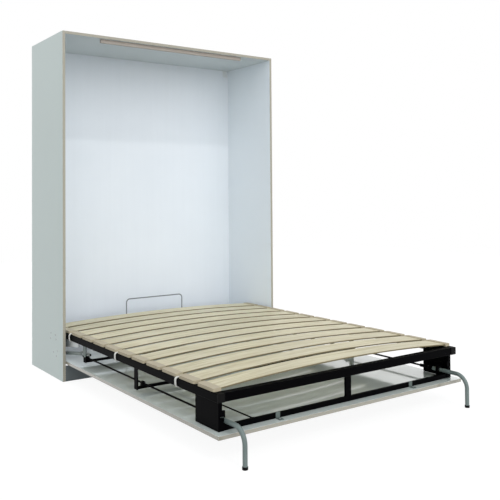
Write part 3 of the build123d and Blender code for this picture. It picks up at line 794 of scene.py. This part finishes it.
bolts = {
    "pivot": (0.745, 0.218),  # Y and Z
    "places": [  # from the pivot, to the wall and up
        (0.099, 0.057), (0.022, 0.055), (0.105, 0.021), (0.008, 0.028),
        (-0.014, -0.042), (0.052, -0.058), (0.002, -0.077),
    ],
    "panel": 0.825,  # X of a side panel's outer face
    "spin": math.pi / 3,
    "seed": 11,
    "rings": [  # socket, domed head, shank, nut
        ("hex", 0.0020, 0.0008), ("hex", 0.0020, 0.0019),
        ("round", 0.0034, 0.0020), ("round", 0.0052, 0.0014), ("round", 0.0064, 0.0005),
        ("round", 0.0065, 0.0), ("round", 0.0030, 0.0), ("round", 0.0030, -0.0232),
        ("hex", 0.0046, -0.0232), ("hex", 0.0046, -0.0268), ("hex", 0.0043, -0.0272),
        ("round", 0.0030, -0.0272),
    ],
}


def makeBolts():
    places = []
    pivotY, pivotZ = bolts["pivot"]
    for sign in (-1, 1):
        for towards, up in bolts["places"]:
            spot = (sign * bolts["panel"], pivotY + towards, pivotZ + up)
            places.append((spot, (0.0, sign * math.pi / 2, 0.0)))
    mesh = spreadCopies("pivotBoltHeads", places, turnedObject("boltCopy", bolts["rings"]), bolts, "zinc")
    return finishPiece("pivotBoltHeads", mesh, "cabinet", ["pivot_bolts"], "zinc")


screws = {
    "reaches": (0.754, 1.491, 2.272),  # foot-side faces of the three bars, out from the wall
    "spread": 0.447,  # to the left and right of the middle
    "out": 0.018,  # from that face
    "top": 0.129,  # Z of the angle tabs' upper side
    "spin": math.pi / 2,
    "seed": 4,
    "rings": [  # cross slot, domed head, shank, tip
        ("cross", 0.0019, 0.0008), ("cross", 0.0022, 0.0024),
        ("round", 0.0027, 0.0025), ("round", 0.0036, 0.0018), ("round", 0.0040, 0.0004),
        ("round", 0.0040, 0.0), ("round", 0.0020, 0.0), ("round", 0.0019, -0.013), ("round", 0.0004, -0.0149),
    ],
}


def makeScrews():
    places = []
    for reach in screws["reaches"]:
        for sign in (-1, 1):
            spot = (sign * screws["spread"], wallY - reach - screws["out"], screws["top"])
            places.append((spot, (0.0, 0.0, 0.0)))
    mesh = spreadCopies("doorScrewHeads", places, turnedObject("screwCopy", screws["rings"]), screws, "zinc")
    return finishPiece("doorScrewHeads", mesh, "bed", ["door_screws"], "zinc")


stitches = {
    "rows": (-0.0065, 0.0065),  # across the tape
    "length": 0.0019,
    "radius": 0.0003,
    "tip": 0.4,  # share of the radius left at the tips
    "body": 0.7,  # share of the length that has the full radius
    "sides": 6,
    "gap": 0.0026,  # from stitch to stitch
    "lift": 1.5,  # tape thicknesses out from the loop's middle line, on the upper layer
    "endSteps": (-2, -1, 0, 1, 2),
    "spin": 0.0,
    "seed": 2,
}


def makeStitches():  # two rows and two ends on each sewn overlap
    places = []
    first, last = strap["overlap"]
    for reach in strap["reaches"]:
        for sign in (-1, 1):
            middleY = wallY - reach
            lift = stitches["lift"] * strap["thickness"]
            line = [strapPoint(sign, step, lift) for step in range(first + 1, last - 1)]
            walked, due = 0.0, 0.0
            for here, after in zip(line, line[1:]):
                span = math.dist(here, after)
                while due <= walked + span:
                    part = (due - walked) / span
                    x = here[0] + (after[0] - here[0]) * part
                    z = here[1] + (after[1] - here[1]) * part
                    slope = math.atan2(-(after[1] - here[1]), after[0] - here[0])
                    for row in stitches["rows"]:
                        places.append(((x, middleY + strapLean(z) + row, z), (0.0, slope, 0.0)))
                    due += stitches["gap"]
                walked += span
            for x, z in (line[0], line[-1]):
                for number in stitches["endSteps"]:
                    y = middleY + strapLean(z) + number * stitches["gap"]
                    places.append(((x, y, z), (0.0, 0.0, math.pi / 2)))
    half, radius = stitches["length"] / 2, stitches["radius"]
    tip, body = radius * stitches["tip"], half * stitches["body"]
    rings = [("round", tip, half), ("round", radius, body), ("round", radius, -body), ("round", tip, -half)]
    copy = turnedObject("stitchCopy", rings, steps=stitches["sides"])
    copy.data.transform(Matrix.Rotation(math.pi / 2, 4, "Y"))
    mesh = spreadCopies("strapStitches", places, copy, stitches, "thread")
    return finishPiece("strapStitches", mesh, "bed", [], "thread")


welds = {
    "radius": 0.0019,
    "spacing": 0.0024,
    "seed": 8,
    "lines": [  # pairs of (X, out from the wall, Z), on both sides
        ((0.7745, 2.090, 0.2575), (0.7745, 2.270, 0.2575)),
        ((0.7645, 1.4655, 0.2575), (0.7795, 1.4655, 0.2575)),
        ((0.7645, 1.5025, 0.2575), (0.7795, 1.5025, 0.2575)),
        ((0.7515, 2.2995, 0.262), (0.7515, 2.2995, 0.294)),
        ((0.7515, 2.2588, 0.262), (0.7515, 2.2588, 0.294)),
        ((0.7515, 0.3205, 0.262), (0.7515, 0.3205, 0.294)),
        ((0.7695, 2.2575, 0.130), (0.7695, 2.2575, 0.149)),
        ((0.0175, 2.258, 0.2575), (0.0175, 2.272, 0.2575)),
        ((0.0175, 2.258, 0.1515), (0.0175, 2.272, 0.1515)),
    ],
    "single": [  # feet of the hoop and ends of the stay
        ((-0.255, 0.2835, 0.2985), (-0.247, 0.2835, 0.2985)),
        ((-0.255, 0.2925, 0.2985), (-0.247, 0.2925, 0.2985)),
        ((0.193, 0.2835, 0.2985), (0.201, 0.2835, 0.2985)),
        ((0.193, 0.2925, 0.2985), (0.201, 0.2925, 0.2985)),
        ((-0.579, 2.2575, 0.150), (-0.571, 2.2575, 0.150)),
        ((-0.579, 1.4915, 0.150), (-0.571, 1.4915, 0.150)),
    ],
}


def makeWelds():
    corners, edges = [], []
    lines = [(sign, ends) for sign in (-1, 1) for ends in welds["lines"]]
    for sign, ends in lines + [(1, ends) for ends in welds["single"]]:
        edges.append((len(corners), len(corners) + 1))
        corners += [(sign * x, wallY - reach, z) for x, reach, z in ends]
    base = bpy.data.meshes.new("weldLines")
    base.from_pydata(corners, edges, [])
    mesh = growMesh(
        "frameWelds", base, "bead",
        Radius=welds["radius"], Spacing=welds["spacing"], Seed=welds["seed"], Material=looks["blackSteel"],
    )
    return finishPiece("frameWelds", mesh, "bed", [], "blackSteel")


makeBolts()
makeScrews()
makeStitches()
makeWelds()
print("bolts, screws, stitches and welds grown")


stage = {
    "floor": 9.0,  # half of its side
    "floorRoughness": 0.9,
    "sunSlope": 1.08,  # how steeply the light falls towards the wall
    "sunAcross": 0.12,
    "sun": 0.35,
    "sunAngle": 0.03,
    "sunColour": (1.0, 0.98, 0.94),
    "sky": 0.1,
    "skyColour": (0.97, 0.985, 1.0, 1.0),
    "glows": (  # brighter parts of the sky: strength, towards, how narrow
        (1.85, (0.0, -1.0, 0.0), 3.0),
        (0.76, (-0.7, -0.7, 0.1), 1.0),
        (0.5, (0.0, 0.0, 1.0), 1.0),
        (0.6, (0.3, 0.95, 0.0), 1.0),
    ),
    "floorTone": shade(120, 120, 120),  # what the floor throws back on the object
    "glow": 0.85,  # share of the seen floor that glows, the rest keeps the shadow
    "floorGlow": 1.06,
}


def seenRays(tree):  # 1 for rays that look at the background: straight, mirrored or let through
    rays = tree.nodes.new("ShaderNodeLightPath")
    seen = mathNode(tree, "MAXIMUM", rays.outputs["Is Camera Ray"], rays.outputs["Is Glossy Ray"])
    return mathNode(tree, "MAXIMUM", seen, rays.outputs["Is Transmission Ray"])


def mixShaders(tree, factor, first, second, target):
    mixed = tree.nodes.new("ShaderNodeMixShader")
    for source, socket in zip((factor, first.outputs[0], second.outputs[0]), mixed.inputs):
        join(tree, source, socket)
    join(tree, mixed.outputs[0], tree.nodes[target].inputs["Surface"])


def makeFloor():
    mesh = bpy.data.meshes.new("floor")
    half = stage["floor"]
    mesh.from_pydata(
        [(-half, -half, 0.0), (half, -half, 0.0), (half, half, 0.0), (-half, half, 0.0)], [], [(0, 1, 2, 3)]
    )
    floor = newObject("floor", mesh)
    material = bpy.data.materials.new("paleFloor")
    material.use_nodes = True
    tree = material.node_tree
    surface = tree.nodes["Principled BSDF"]
    surface.inputs["Roughness"].default_value = stage["floorRoughness"]
    glow = place(tree, "ShaderNodeEmission", Strength=stage["floorGlow"])
    seen = seenRays(tree)
    join(tree, mixColour(tree, seen, stage["floorTone"], white), surface.inputs["Base Color"])
    mixShaders(tree, mathNode(tree, "MULTIPLY", seen, stage["glow"]), surface, glow, "Material Output")
    mesh.materials.append(material)


def makeSky():
    world = bpy.data.worlds.new("studio")
    scene.world = world
    world.use_nodes = True
    tree = world.node_tree
    soft = tree.nodes["Background"]
    soft.inputs["Color"].default_value = stage["skyColour"]
    where = tree.nodes.new("ShaderNodeTexCoord")
    level = stage["sky"]
    for strength, heading, narrow in stage["glows"]:
        towards = place(tree, "ShaderNodeVectorMath", p_operation="DOT_PRODUCT")
        join(tree, where.outputs["Generated"], towards.inputs[0])
        towards.inputs[1].default_value = heading
        bright = mathNode(tree, "POWER", mathNode(tree, "MAXIMUM", towards.outputs["Value"], 0.0), narrow)
        level = mathNode(tree, "ADD", mathNode(tree, "MULTIPLY", bright, strength), level)
    join(tree, level, soft.inputs["Strength"])
    plain = place(tree, "ShaderNodeBackground", Color=white, Strength=1.0)
    mixShaders(tree, seenRays(tree), soft, plain, "World Output")


def makeSun():
    lamp = bpy.data.lights.new("keySun", "SUN")
    lamp.energy = stage["sun"]
    lamp.angle = stage["sunAngle"]
    lamp.color = stage["sunColour"]
    sun = newObject("keySun", lamp)
    fall = Vector((stage["sunAcross"], 1.0, -stage["sunSlope"]))
    sun.rotation_euler = fall.to_track_quat("-Z", "Y").to_euler()


view = {
    "place": (-2.45580, -3.65917, 1.14428),
    "yaw": 0.62105,
    "pitch": 0.0206,
    "roll": -0.00701,
    "sensor": 36,
    "frame": 500,  # side of the picture in pixels
    "focus": 709.745,  # focal length in pixels
    "middle": 182.2256,  # row of the picture that the lens looks at
}


def makeCamera():
    lens = bpy.data.cameras.new("photoCamera")
    lens.sensor_width = view["sensor"]
    lens.lens = view["focus"] / view["frame"] * view["sensor"]
    lens.shift_y = -(view["frame"] / 2 - view["middle"]) / view["frame"]
    camera = newObject("photoCamera", lens)
    yaw, pitch, roll = view["yaw"], view["pitch"], view["roll"]
    forward = Vector((math.sin(yaw) * math.cos(pitch), math.cos(yaw) * math.cos(pitch), math.sin(pitch)))
    right = Vector((math.cos(yaw), -math.sin(yaw), 0.0))
    up = right.cross(forward)
    axisX = math.cos(roll) * right + math.sin(roll) * up
    axisY = math.cos(roll) * up - math.sin(roll) * right
    turn = Matrix((axisX, axisY, -forward)).transposed().to_4x4()
    camera.matrix_world = Matrix.Translation(view["place"]) @ turn
    scene.camera = camera


makeFloor()
makeSky()
makeSun()
makeCamera()
scene.view_settings.view_transform = "Standard"
print("stage and camera set")
